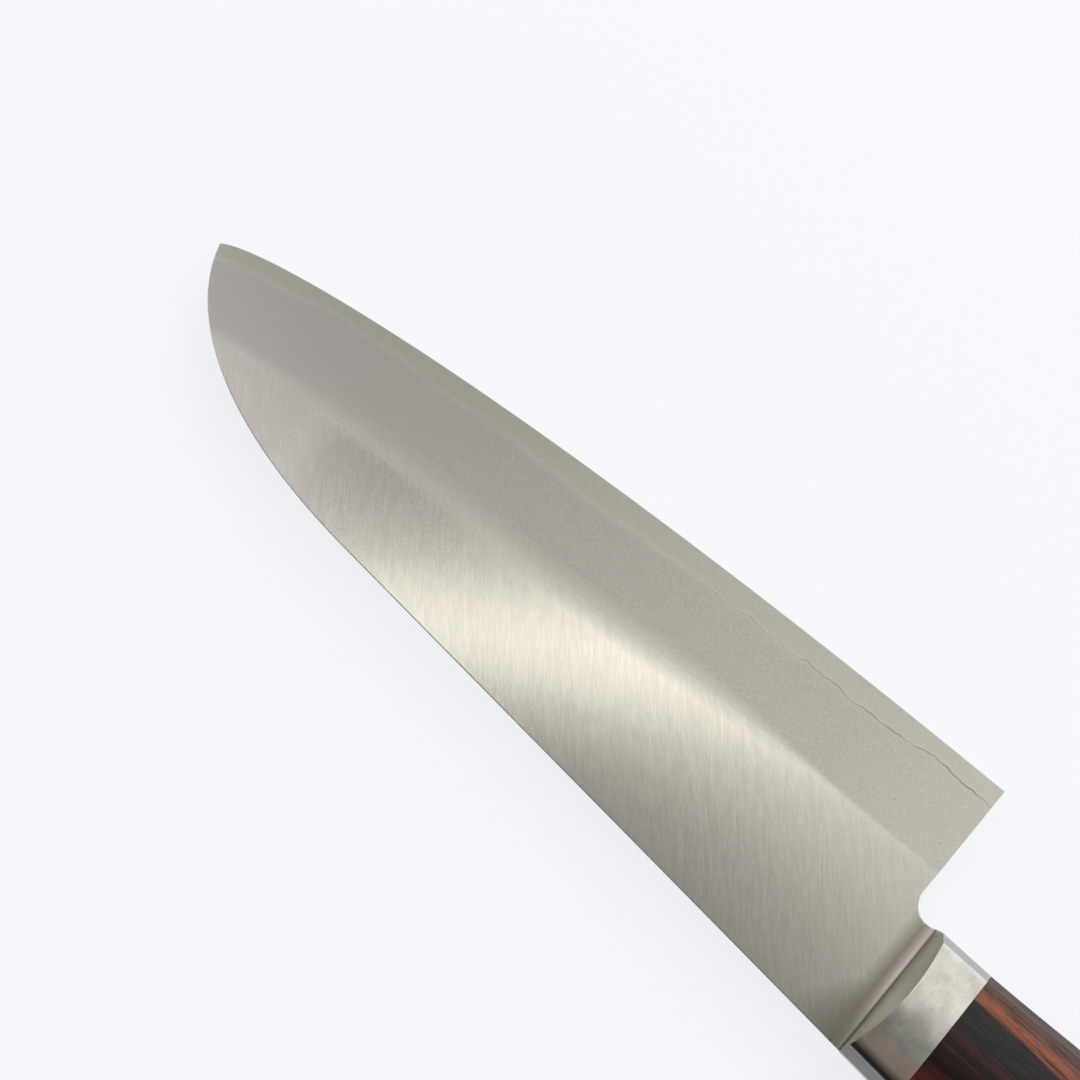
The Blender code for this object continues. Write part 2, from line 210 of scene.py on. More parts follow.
def core_half(x, side):
    """The core's half thickness on one side, which puts its edge under the cladding's wandering line."""
    return wedge_half(line_height(x, side), by_line(x))


def toe_offset(x, y):
    """Distance of a point in front of the bolster's toe line, along x."""
    return x - (SEAM_X + TOE_RUN) + tan(BOLSTER_LEAN) * (y - float(handle_belly(SEAM_X)))


def split_at_toe(outline, offset):
    """Adds the points where the outline crosses a parallel to the toe line, and gives that crossing line."""
    points = []
    marks = []
    level = toe_offset(outline[:, 0], outline[:, 1]) - offset
    for k, point in enumerate(outline):
        points.append(point)
        after = (k + 1) % len(outline)
        if level[k] * level[after] < 0:
            share = level[k] / (level[k] - level[after])
            points.append(point + (outline[after] - point) * share)
            marks.append(points[-1])
    return np.array(points), np.linspace(*marks, 42)


def inside_outline(points, outline, margin):
    """True for each point that lies inside the outline and at least the margin away from it."""
    first = outline
    second = np.roll(outline, -1, axis=0)
    kept = np.zeros(len(points), bool)
    span = second - first
    length_2 = np.maximum((span**2).sum(1), 1e-12)
    for k, p in enumerate(points):
        crossing = (first[:, 1] > p[1]) != (second[:, 1] > p[1])
        at_x = first[:, 0] + (p[1] - first[:, 1]) * span[:, 0] / np.where(span[:, 1] == 0, 1e-12, span[:, 1])
        odd = np.count_nonzero(crossing & (p[0] < at_x)) % 2
        share = np.clip(((p - first) * span).sum(1) / length_2, 0, 1)
        near = ((first + span * share[:, None] - p) ** 2).sum(1).min()
        kept[k] = odd and near > margin**2
    return kept


def flank_points(outline, side, start):
    """Points spread over a flank in rows that follow the edge, closer together at the grind's shoulder."""
    points = []
    near_shoulder = (-5.5, -4, -3, -2.25, -1.6, -1.1, -0.7, -0.35, 0, 0.35, 0.7, 1.1, 1.6, 2.25, 3, 4, 5.5)
    flat = (8, 11, 14, 17, 20, 23, 26)
    for x in np.arange(-18.5, 163.5, 0.8):
        foot = -float(above_edge(np.array(x), 0.0))
        shoulder = float(bevel_height(x))
        line = float(line_height(x, side))
        rows = [0.4, 1.1, 2.0, 2.9] if start == "edge" else []
        rows += [line + rise for rise in (0.7, 1.6, 2.8, 4.2, 5.8)]
        rows += [shoulder + rise for rise in near_shoulder + flat]
        points += [(x, foot + row) for row in rows]
    for x in np.arange(-124, -19, 4.0):
        points += [(x, y) for y in np.arange(19, 46, 3.0)]
    points = np.array(points)
    return points[inside_outline(points, outline, 0.33)]


def filled(ring, points, lines):
    """Triangles that fill a ring through the points given, with edges along the lines given.

    Gives the places, the triangles and the ring's numbers among the places.
    """
    places = [Vector(p) for p in ring] + [Vector(p) for p in points]
    edges = []
    for line in lines:
        numbers = []
        for p in line:
            near = np.abs(ring - p).sum(1)
            if near.min() < 1e-7:
                numbers.append(int(near.argmin()))
            else:
                numbers.append(len(places))
                places.append(Vector(p))
        edges += list(zip(numbers, numbers[1:]))
    result = delaunay_2d_cdt(places, edges, [list(range(len(ring)))], 1, 1e-6)
    found = np.array([p[:] for p in result[0]])
    number = {}
    for new, old in enumerate(result[3]):
        for k in old:
            number[k] = new
    order = [number[k] for k in range(len(ring))]
    return found, [tuple(face) for face in result[2]], order


EASE_STEPS = 4


def new_object(name, data):
    item = bpy.data.objects.new(name, data)
    bpy.context.scene.collection.objects.link(item)
    return item


def finished(bm, name):
    """The object that a bmesh becomes."""
    mesh = bpy.data.meshes.new(name)
    bm.to_mesh(mesh)
    bm.free()
    return new_object(name, mesh)


def raised(bm, flat, height):
    """New points of a bmesh at places in the blade's plane and the heights given there."""
    return [bm.verts.new(p) for p in placed(np.column_stack([flat, height]))]


def plate(name, outline, points, lines, heights, easing):
    """Closed plate between two height fields. Its upper rim is rounded by the radius given at each point."""
    ahead = np.roll(outline, -1, axis=0) - outline
    second = ahead / np.linalg.norm(ahead, axis=1)[:, None]
    first = np.roll(second, 1, axis=0)
    inward = np.stack([-(first + second)[:, 1], (first + second)[:, 0]], 1)
    inward /= np.maximum(np.linalg.norm(inward, axis=1), 1e-9)[:, None]
    turn = inward[:, 0] * -first[:, 1] + inward[:, 1] * first[:, 0]
    inward /= np.maximum(turn, 0.5)[:, None]
    bottom, top = heights
    bm = bmesh.new()
    rings = []
    eased = easing.max() > 0
    for step in range(EASE_STEPS + 2 if eased else 1):
        angle = pi / 2 * min(step / EASE_STEPS, 1)
        beyond = 0.4 if step > EASE_STEPS else 0
        at = outline + inward * (easing * (1 - cos(angle) + beyond))[:, None]
        rings.append(raised(bm, at, top(*at.T) - easing * (1 - sin(angle))))
    found, faces, order = filled(at, points, lines)
    for upper in (True, False):
        ring = rings[-1] if upper else raised(bm, outline, bottom(*outline.T))
        level = (top if upper else bottom)(*found.T)
        corners = {new: ring[k] for k, new in enumerate(order)}
        for k, p in enumerate(placed(np.column_stack([found, level]))):
            if k not in corners:
                corners[k] = bm.verts.new(p)
        for face in faces:
            bm.faces.new([corners[k] for k in (face if upper else reversed(face))])
        if not upper:
            rings.insert(0, ring)
    for lower, higher in zip(rings, rings[1:]):
        for k in range(len(outline)):
            j = (k + 1) % len(outline)
            bm.faces.new((lower[k], lower[j], higher[j], higher[k]))
    bmesh.ops.remove_doubles(bm, verts=bm.verts, dist=2e-7)
    bmesh.ops.recalc_face_normals(bm, faces=bm.faces)
    return finished(bm, name)


def drawing_places(mesh):
    """The mesh's points in millimetres in the knife's frame."""
    co = np.zeros(len(mesh.vertices) * 3)
    mesh.vertices.foreach_get("co", co)
    return (co.reshape(-1, 3) - np.array(HEEL)) * 1000


def feed(tree, item, inputs):
    """Gives a node's inputs, by name or number, values or other nodes' outputs."""
    for key, value in dict(inputs).items():
        if isinstance(value, bpy.types.NodeSocket):
            tree.links.new(value, item.inputs[key])
        else:
            item.inputs[key].default_value = value
    return item


def add_node(tree, kind, inputs=(), **settings):
    item = tree.nodes.new(kind)
    for key, value in settings.items():
        setattr(item, key, value)
    return feed(tree, item, inputs)


def math_node(tree, operation, *values):
    return add_node(tree, "ShaderNodeMath", dict(enumerate(values)), operation=operation).outputs[0]


def product(tree, first, second):
    return math_node(tree, "MULTIPLY", first, second)


def geometry_tree(name, numbers):
    """A node tree that takes geometry, numbers and a material and gives geometry, and its input sockets."""
    tree = bpy.data.node_groups.new(name, "GeometryNodeTree")
    tree.interface.new_socket("Geometry", in_out="INPUT", socket_type="NodeSocketGeometry")
    for number in numbers:
        tree.interface.new_socket(number, in_out="INPUT", socket_type="NodeSocketFloat")
    tree.interface.new_socket("Material", in_out="INPUT", socket_type="NodeSocketMaterial")
    tree.interface.new_socket("Geometry", in_out="OUTPUT", socket_type="NodeSocketGeometry")
    return tree, tree.nodes.new("NodeGroupInput").outputs


def give_result(tree, geometry, material):
    """Ends a node tree: real geometry with the material is its result."""
    real = add_node(tree, "GeometryNodeRealizeInstances", {"Geometry": geometry}).outputs[0]
    dressed = add_node(tree, "GeometryNodeSetMaterial", {"Geometry": real, "Material": material}).outputs[0]
    tree.links.new(dressed, tree.nodes.new("NodeGroupOutput").inputs[0])


def wheel_grind():
    """Node tree that grinds a plate as a wheel does: its faces come down to the wedge over the edge."""
    tree, given = geometry_tree("wheel_grind", ("Plate Half", "Edge Half", "Middle Height"))
    above, shoulder, softness = [
        add_node(tree, "GeometryNodeInputNamedAttribute", {"Name": name}, data_type="FLOAT").outputs[0]
        for name in ("height_over_edge", "shoulder_height", "shoulder_softness")]
    position = tree.nodes.new("GeometryNodeInputPosition").outputs[0]
    place = add_node(tree, "ShaderNodeSeparateXYZ", {0: position}).outputs
    off_middle = math_node(tree, "SUBTRACT", place["Z"], given["Middle Height"])
    side = math_node(tree, "SIGN", off_middle)
    depth = math_node(tree, "ABSOLUTE", off_middle)
    share = math_node(tree, "DIVIDE", above, shoulder)
    rise = math_node(tree, "SUBTRACT", given["Plate Half"], given["Edge Half"])
    wedge = math_node(tree, "MULTIPLY_ADD", share, rise, given["Edge Half"])
    wheel = math_node(tree, "SMOOTH_MIN", wedge, given["Plate Half"], softness)
    left = math_node(tree, "MINIMUM", depth, wheel)
    height = math_node(tree, "MULTIPLY_ADD", left, side, given["Middle Height"])
    moved = add_node(tree, "ShaderNodeCombineXYZ", {"X": place["X"], "Y": place["Y"], "Z": height}).outputs[0]
    ground = add_node(tree, "GeometryNodeSetPosition", {"Geometry": given["Geometry"], "Position": moved})
    give_result(tree, ground.outputs[0], given["Material"])
    return tree


WHEEL_GRIND = wheel_grind()


def keep_result(item, modifier):
    """Keeps what the modifier makes of an object as the object's plain mesh."""
    bpy.context.view_layer.update()
    depsgraph = bpy.context.evaluated_depsgraph_get()
    shaped = item.evaluated_get(depsgraph)
    mesh = bpy.data.meshes.new_from_object(shaped, preserve_all_data_layers=True, depsgraph=depsgraph)
    item.modifiers.remove(modifier)
    old = item.data
    item.data = mesh
    bpy.data.meshes.remove(old)
    mesh.name = item.name


def shaped_by(item, tree, values):
    """Runs a node tree on an object with the inputs named, and keeps the result."""
    modifier = item.modifiers.new(tree.name, "NODES")
    modifier.node_group = tree
    for socket in tree.interface.items_tree:
        if socket.in_out == "INPUT" and socket.name in values:
            modifier[socket.identifier] = values[socket.name]
    keep_result(item, modifier)


def corner_points(mesh):
    """Number of the point at each face corner."""
    corner = np.zeros(len(mesh.loops), int)
    mesh.loops.foreach_get("vertex_index", corner)
    return corner


def face_flank_evenly(mesh):
    """Gives points on the ground flanks the true surface's direction, so that long reflections stay calm."""
    x, y, z = drawing_places(mesh).T
    step = 0.3
    across_x = (ground_half(x + step, y) - ground_half(x - step, y)) / (2 * step)
    across_y = (ground_half(x, y + step) - ground_half(x, y - step)) / (2 * step)
    facing = np.stack([-across_x, -across_y, np.sign(z)], 1)
    facing /= np.linalg.norm(facing, axis=1)[:, None]
    on_flank = np.abs(np.abs(z) - ground_half(x, y)) < 2e-4
    corner = corner_points(mesh)
    normals = np.zeros(len(corner) * 3)
    mesh.corner_normals.foreach_get("vector", normals)
    normals = normals.reshape(-1, 3)
    ground = on_flank[corner] & (np.abs(normals[:, 2]) > 0.9)
    normals[ground] = facing[corner[ground]]
    mesh.normals_split_custom_set(normals.tolist())


RIM_REACH = 5.0


def grind_plate(item, side, material, rim_points):
    """Stores what the grind and the finish need on the plate's points, grinds it and shades it."""
    x, y, z = drawing_places(item.data).T
    line = line_height(x, side) if side else np.where(z >= 0, line_height(x, 1), line_height(x, -1))
    flat = np.stack([x, y], 1)
    for mark, values in (
            ("height_over_edge", above_edge(x, y) / 1000),
            ("shoulder_height", bevel_height(x) / 1000),
            ("shoulder_softness", shoulder_softness(x) / 1000),
            ("over_line", above_edge(x, y) - line),
            ("past_toe", toe_offset(x, y)),
            ("from_rim", [min(RIM_REACH, sqrt(((rim_points - p) ** 2).sum(1).min())) for p in flat])):
        stored = item.data.attributes.new(mark, "FLOAT", "POINT")
        stored.data.foreach_set("value", np.asarray(values, np.float32))
    brushed = item.data.uv_layers.new(name="brushed")
    across = np.array([cos(HAIRLINE_ANGLE - pi / 2), sin(HAIRLINE_ANGLE - pi / 2)])
    along = np.array([cos(HAIRLINE_ANGLE), sin(HAIRLINE_ANGLE)])
    uv = np.stack([flat @ across, flat @ along], 1)[corner_points(item.data)] / 100
    brushed.data.foreach_set("uv", uv.astype(np.float32).ravel())
    shaped_by(item, WHEEL_GRIND, {
        "Plate Half": BLADE_HALF / 1000, "Edge Half": EDGE_HALF / 1000, "Middle Height": HEEL.z,
        "Material": material})
    item.data.shade_smooth()
    item.data.set_sharp_from_angle(angle=radians(40))
    face_flank_evenly(item.data)


def shader_group(name, inputs=()):
    """An empty shader node group with float inputs and one float output, its input sockets and its output."""
    group = bpy.data.node_groups.new(name, "ShaderNodeTree")
    for socket in inputs:
        group.interface.new_socket(socket, in_out="INPUT", socket_type="NodeSocketFloat")
    group.interface.new_socket("Shade", in_out="OUTPUT", socket_type="NodeSocketFloat")
    return group, group.nodes.new("NodeGroupInput").outputs, group.nodes.new("NodeGroupOutput").inputs[0]


def shade_from(tree, group, inputs=()):
    """The shade that a node group gives in a material."""
    return add_node(tree, "ShaderNodeGroup", inputs, node_tree=group).outputs[0]


def object_place(tree):
    return tree.nodes.new("ShaderNodeTexCoord").outputs["Object"]


def stretched_noise(tree, angle, across, along, detail, roughness=0.55):
    """Noise drawn out along a direction in the blade's plane, its size across and along it in metres."""
    laid = add_node(tree, "ShaderNodeMapping", {
        "Vector": object_place(tree), "Rotation": (0, 0, angle), "Scale": (along, across, across)},
        vector_type="TEXTURE")
    return add_node(tree, "ShaderNodeTexNoise", {
        "Vector": laid.outputs[0], "Scale": 1.0, "Detail": detail, "Roughness": roughness}).outputs["Fac"]


# Belts leave the hairlines at an angle to the blade: they run from the edge up and back towards the handle.
HAIRLINE_ANGLE = radians(136)


def hairline_group(name, angle, fine, coarse):
    """Satin hairlines of a belt: a shade around 0.5, also used as height, from fine and coarse lines."""
    group, _, out = shader_group(name)
    thin = product(group, stretched_noise(group, angle, fine, fine * 13, 3.0), 0.6)
    wide = product(group, stretched_noise(group, angle, coarse, coarse * 7, 2.0), 0.4)
    group.links.new(math_node(group, "ADD", thin, wide), out)
    return group


def patch_group():
    """Slow changes of tone that handling and polishing leave on steel, around 0.5."""
    group, given, out = shader_group("polish_patches", ["Patch Size"])
    small = add_node(group, "ShaderNodeVectorMath", {0: object_place(group), 1: given["Patch Size"]},
                     operation="DIVIDE")
    noise = add_node(group, "ShaderNodeTexNoise", {"Vector": small.outputs[0], "Scale": 1.0})
    group.links.new(noise.outputs["Fac"], out)
    return group


BLADE_HAIRLINES = hairline_group("blade_hairlines", HAIRLINE_ANGLE, 0.00015, 0.0006)
POLISH_PATCHES = patch_group()


def new_material(name):
    material = bpy.data.materials.new(name)
    material.use_nodes = True
    return material, material.node_tree, material.node_tree.nodes["Principled BSDF"]


def ramp(tree, value, low, high, start=0.0, end=1.0):
    """Maps a value from one range to another, clamped."""
    return add_node(tree, "ShaderNodeMapRange", {
        "Value": value, "From Min": low, "From Max": high, "To Min": start, "To Max": end}).outputs["Result"]


def stored_value(tree, name):
    item = add_node(tree, "ShaderNodeAttribute", attribute_name=name, attribute_type="GEOMETRY")
    return item.outputs["Fac"]


def mix_colours(tree, share, first, second):
    """Colour mix of two colours or colour sockets."""
    return add_node(tree, "ShaderNodeMix", {0: share, 6: first, 7: second}, data_type="RGBA").outputs[2]


def layered(tree, colour, layers):
    """Lays colours over a colour one after the other, each by its share."""
    for share, over in layers:
        colour = mix_colours(tree, share, colour, over)
    return colour


# Painted shade and reflection of the bolster, laid olive-brown on the blade and fillet in front of its toe.
PAINTED_TOE_SHADE = (0.29, 0.255, 0.195, 1)


def object_axes(tree):
    return add_node(tree, "ShaderNodeSeparateXYZ", {0: object_place(tree)}).outputs


def fine_specks(tree, scale, detail=2.0):
    """Noise without direction, as a value around 0.5."""
    inputs = {"Vector": object_place(tree), "Scale": scale, "Detail": detail}
    return add_node(tree, "ShaderNodeTexNoise", inputs).outputs["Fac"]


def blade_steel(name, satin_tones, misty_tones, line_side):
    """Blade steel: a satin flank with hairlines above the shoulder of the grind and a matte bevel below it.

    The tones are two pairs of colours each. The first pair passes into the second towards the tip.
    """
    material, tree, shader = new_material(name)
    place = object_axes(tree)
    along = place["X"]
    lines = shade_from(tree, BLADE_HAIRLINES)
    mist = fine_specks(tree, 2500.0, 3.0)
    cloud = math_node(tree, "SUBTRACT", shade_from(tree, POLISH_PATCHES, {"Patch Size": 0.016}), 0.5)
    above = stored_value(tree, "height_over_edge")
    over = math_node(tree, "SUBTRACT", above, stored_value(tree, "shoulder_height"))
    uneven = math_node(tree, "MULTIPLY_ADD", cloud, 0.0008, over)
    softened = math_node(tree, "DIVIDE", uneven, stored_value(tree, "shoulder_softness"))
    satin = ramp(tree, softened, -14.0, 19.0)
    matte = math_node(tree, "SUBTRACT", 1.0, satin)
    to_line = product(tree, stored_value(tree, "over_line"), line_side)
    on_side = ramp(tree, to_line, -0.6, -0.5)
    clear = ramp(tree, along, -0.005, 0.05, 0.65, 0.16)
    seen = product(tree, clear, ramp(tree, fine_specks(tree, 260.0), 0.35, 0.6, 0.45, 1.0))
    line_mark = product(tree, ramp(tree, to_line, 0.03, 0.17, 1.0, 0.0), seen)
    halo = ramp(tree, to_line, 0.10, 1.1, 0.45, 0.0)
    glint = ramp(tree, to_line, 0.17, 0.40, 0.35, 0.0)
    rim = ramp(tree, stored_value(tree, "from_rim"), 0.02, 0.22, 0.5, 0.0)
    by_heel = ramp(tree, along, -0.018, 0.004, 0.30, 0.0)
    # Painted shade in front of the bolster's toe, which reaches further along the blade towards the spine.
    reach = ramp(tree, place["Y"], 0.0127, 0.0217, 2.4, 9.0)
    toe_share = math_node(tree, "DIVIDE", stored_value(tree, "past_toe"), reach)
    pits = product(tree, ramp(tree, fine_specks(tree, 1700.0), 0.69, 0.74, 0.0, 1.6), matte)
    hairs = ramp(tree, lines, 0.35, 0.65)
    grains = ramp(tree, mist, 0.35, 0.65, -0.5, 0.5)
    specks = math_node(tree, "MULTIPLY_ADD", grains, ramp(tree, along, 0.07, 0.13, 0.8, 0.15), 0.5)
    far = ramp(tree, math_node(tree, "MULTIPLY_ADD", cloud, 0.04, along), 0.065, 0.135)
    by_tip = ramp(tree, math_node(tree, "MULTIPLY_ADD", hairs, 0.004, along), 0.104, 0.112)
    satin_colour, misty_colour = [
        mix_colours(tree, far, mix_colours(tree, fine, *near_pair), mix_colours(tree, fine, *far_pair))
        for fine, (near_pair, far_pair) in ((hairs, satin_tones), (specks, misty_tones))]
    colour = layered(tree, misty_colour, (
        (satin, satin_colour),
        (product(tree, by_tip, product(tree, satin, 0.24)), (0.0, 0.0, 0.0, 1)),
        (by_heel, (0.62, 0.595, 0.505, 1)),
        (product(tree, pits, by_heel), (0.05, 0.045, 0.04, 1)),
        (product(tree, halo, on_side), (0.53, 0.515, 0.45, 1)),
        (product(tree, glint, on_side), (0.62, 0.60, 0.53, 1)),
        (product(tree, line_mark, on_side), (0.15, 0.145, 0.12, 1)),
        # Painted shade in front of the bolster's toe.
        (ramp(tree, toe_share, 0.0, 1.0, 0.85, 0.0), PAINTED_TOE_SHADE),
        (rim, (0.50, 0.485, 0.44, 1))))
    from_mist = ramp(tree, by_tip, 0.0, 1.0, -0.142, -0.058)
    cut = product(tree, satin, ramp(tree, along, 0.055, 0.095, 0.9, 0.4))
    relief = math_node(tree, "ADD", product(tree, mist, matte), product(tree, lines, cut))
    bump = add_node(tree, "ShaderNodeBump", {"Height": relief, "Strength": 0.5, "Distance": 0.000013})
    tangent = add_node(tree, "ShaderNodeTangent", direction_type="UV_MAP", uv_map="brushed")
    feed(tree, shader, {
        "Base Color": colour, "Roughness": math_node(tree, "MULTIPLY_ADD", satin, from_mist, 0.343),
        "Metallic": 1.0, "Anisotropic": 0.70, "Tangent": tangent.outputs[0], "Normal": bump.outputs[0]})
    return material


core_pair = (0.463, 0.452, 0.376, 1), (0.507, 0.496, 0.412, 1)
core_material = blade_steel("bare_core_steel", (core_pair, core_pair), (core_pair, core_pair), -1.0)

outline = steel_outline()
wave_x = np.arange(0.6, 160.0, 0.5)
wave = np.stack([wave_x, line_height(wave_x, 1) + np.interp(wave_x, *EDGE_LINE.T)], 1)
core_points = flank_points(outline, 1, "edge")
core = plate("core_steel_fine", outline, core_points, [wave],
             (lambda x, y: -core_half(x, -1), lambda x, y: core_half(x, 1)), np.zeros(len(outline)))
grind_plate(core, 0, core_material, outline)
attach(core, "root")
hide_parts("core_steel")


# Cladding
# Two softer, stainless outer layers, one on each flank of the core. Below the shoulder of the grind they are
# blasted to a matte mist, above it they keep the belt's satin hairlines, and under the handle they are let
# down a little.
LAYER_GAP = 0.008
LINE_CLEARANCE = 0.25
SPINE_EASE = 0.18


def cladding_outline(side):
    """The steel's outline above the line at which the core comes out."""
    x = np.arange(0.3, 163.0, 0.4)
    shift = (LAYER_GAP + 0.004) * bevel_height(x) / (BLADE_HALF - EDGE_HALF)
    y = np.interp(x, *EDGE_LINE.T) + line_height(x, side) + shift
    limit = np.interp(x, *SPINE_FALL[::-1].T)
    on_rear = y[0] * np.array([-tan(HEEL_LEAN), 1.0])
    line = np.concatenate([[on_rear], np.stack([x, y], 1)[y < limit - LINE_CLEARANCE]])
    full = steel_outline()
    over = above_edge(full[:, 0], full[:, 1]) - line_height(full[:, 0], side)
    upper = full[(over > LINE_CLEARANCE) & ((full[:, 0] < line[-1, 0] + 2) | (full[:, 1] > TIP_HEIGHT))]
    start = int(np.argmax(np.where(upper[:, 0] > 100, upper[:, 0] - upper[:, 1] * 0.001, -1e9)))
    upper = np.roll(upper, -start, axis=0)
    return np.concatenate([line, upper]), len(line)


def mirror_through_blade(mesh):
    """Turns a mesh made for the right flank into the left one, through the middle plane of the blade."""
    mesh.transform(Matrix.Diagonal((1, 1, -1, 1)))
    mesh.transform(Matrix.Translation((0, 0, 2 * HEEL.z)))
    mesh.flip_normals()


satin_near = (0.633, 0.604, 0.521, 1), (0.725, 0.692, 0.597, 1)
satin_far = (0.550, 0.520, 0.484, 1), (0.635, 0.600, 0.558, 1)
misty_near = (0.428, 0.416, 0.358, 1), (0.505, 0.492, 0.425, 1)
misty_far = (0.456, 0.426, 0.411, 1), (0.529, 0.496, 0.476, 1)
cladding_material = blade_steel("satin_cladding_steel", (satin_near, satin_far), (misty_near, misty_far), 1.0)
for side, word in ((1, "right"), (-1, "left")):
    outline, line_count = cladding_outline(side)
    marked = {tuple(p) for p in outline[:line_count]}
    outline, front_line = split_at_toe(outline, 0.005)
    outline, rear_line = split_at_toe(outline, 0.002)
    in_front = np.clip(toe_offset(*outline.T) - 0.2, 0, 1)
    easing = SPINE_EASE * in_front * [tuple(p) not in marked for p in outline]
    points = flank_points(outline, side, "line")

    def top(x, y):
        return np.where(toe_offset(x, y) > 0.0035, BLADE_HALF, BLADE_HALF - TANG_RELIEF)

    def bottom(x, y):
        return core_half(x, side) + LAYER_GAP

    toe_lines = [front_line, rear_line]
    piece = plate("cladding_" + word + "_fine", outline, points, toe_lines, (bottom, top), easing)
    if side < 0:
        mirror_through_blade(piece.data)
    grind_plate(piece, side, cladding_material, outline[easing > 0])
    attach(piece, "root")
    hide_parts("cladding_" + word)


# Bolster halves
# Two stainless halves welded to the flanks at the neck. Each front is ground to a slope whose rim is an arc,
# and a ground fillet runs from the slope's foot out into the blade. Flanks and belly are flush with the wood.
HANDLE_HALF = 7.75
FLANK_CROWN = 1.35
FLANK_LAND = 7.0
SPINE_CORNER_RUN = 1.7
BELLY_CORNER_RUN = 1.2
CORNER_DROP = 2.0
SEAT_Z = BLADE_HALF - TANG_RELIEF + 0.03
CORNER_Z = HANDLE_HALF - FLANK_CROWN
BOLSTER_LENGTH = 10.3
BOLSTER_REAR_X = SEAM_X - BOLSTER_LENGTH
RIM_DEPTH = 2.7
RIM_DEEPEST_SHARE = 0.38
FILLET_HEIGHT = 0.7
CROWN_END = -37.0
FLANK_STEPS = 10
LAND_STEPS = 5
FLANK_SHARES = (0.0, 0.04, 0.5, 0.96)
FRONT_SHARES = (0.0, 0.06, 0.5, 0.94, 1.0)
FILLET_STEPS = 10


def corner_to_middle(corner_run, half, crown):
    """One side of a cross-section as (run, z): upright face, broken corner and flank up to the middle.

    With a crown of 0 the flank's middle is a flat land, with a crown of 1 the flank is one arc.
    """
    face_z = CORNER_Z - CORNER_DROP
    side = [(0.0, SEAT_Z), (0.0, SEAT_Z + 0.5), (0.0, face_z - 0.4), (0.0, face_z)]
    side += [(corner_run * share, face_z + CORNER_DROP * share) for share in (0.2, 0.8)]
    reach = half - corner_run
    land = FLANK_LAND / 2
    for off in [*np.linspace(reach, land, FLANK_STEPS + 1), *np.linspace(land, 0, LAND_STEPS + 1)[1:]]:
        beside_land = (max(off - land, 0) / (reach - land)) ** 2
        fall = FLANK_CROWN * (beside_land + ((off / reach) ** 2 - beside_land) * crown)
        side.append((half - off, HANDLE_HALF - fall))
    return side


CRISP = (3, 6)


def half_section(x_belly, lean, inset=0.0, lowered=0.0):
    """Cross-section of the right handle half from the spine side to the belly side, as rows of x, y, z."""
    belly = float(handle_belly(x_belly))
    slope = tan(lean)
    top = float(handle_top(x_belly - slope * (HEEL_HEIGHT - belly)))
    half = (top - belly) / 2
    crown = float(ease((x_belly - CROWN_END) / (BOLSTER_REAR_X - CROWN_END)))
    narrowed = (half - inset) / half
    spine_side = corner_to_middle(SPINE_CORNER_RUN, half, crown)
    belly_side = corner_to_middle(BELLY_CORNER_RUN, half, crown)
    upper = [(top - inset - run * narrowed, z) for run, z in spine_side]
    lower = [(belly + inset + run * narrowed, z) for run, z in belly_side][-2::-1]
    rows = np.array(upper + lower)
    z = np.where(rows[:, 1] > SEAT_Z + 0.6, rows[:, 1] - lowered, rows[:, 1])
    return np.column_stack([x_belly - slope * (rows[:, 0] - belly), rows[:, 0], z])


def bolster_rings():
    """Rings of the right half: rear face, flank, rim, foot of the sloped front, fillet, toe."""
    seam = half_section(SEAM_X, BOLSTER_LEAN)
    last = len(seam) - 1
    belly, height = seam[last, 1], seam[0, 1] - seam[last, 1]
    share = (seam[:, 1] - belly) / height
    on_flank = (np.arange(last + 1) >= CRISP[1]) & (np.arange(last + 1) <= last - CRISP[1])
    rise = np.where(on_flank, 1.0, (seam[:, 2] - SEAT_Z) / (CORNER_Z - SEAT_Z))
    back = RIM_DEPTH * (1 - ((share - RIM_DEEPEST_SHARE) / (1 - RIM_DEEPEST_SHARE)) ** 2) * rise
    rim_belly = handle_belly(SEAM_X - back)
    rim = np.column_stack([seam[:, 0] - back, rim_belly + (seam[0, 1] - rim_belly) * share, seam[:, 2]])
    rear = half_section(BOLSTER_REAR_X, BOLSTER_LEAN)
    buried = np.isin(np.arange(last + 1), (0, last))
    foot = np.column_stack([seam[:, :2], np.where(buried, SEAT_Z, BLADE_HALF + FILLET_HEIGHT)])
    rings = [rear + (rim - rear) * part for part in FLANK_SHARES]
    rings += [rim + (foot - rim) * part for part in FRONT_SHARES]
    rim_and_foot = (len(FLANK_SHARES), len(rings) - 1)
    for step in range(1, FILLET_STEPS + 1):
        angle = pi / 2 * step / FILLET_STEPS
        forward = TOE_RUN * (1 - cos(angle))
        off = min(seam[last, 0] + forward - CHOIL_CENTRE[0], 0.0)
        low_y = CHOIL_CENTRE[1] + sqrt(CHOIL_RADIUS**2 - off**2)
        z = np.where(buried, SEAT_Z, BLADE_HALF + FILLET_HEIGHT * (1 - sin(angle)))
        rings.append(np.column_stack([seam[:, 0] + forward, low_y + (seam[0, 1] - low_y) * share, z]))
    rings.append(np.column_stack([rings[-1][:, :2], np.full(last + 1, SEAT_Z)]))
    return rings, rim_and_foot


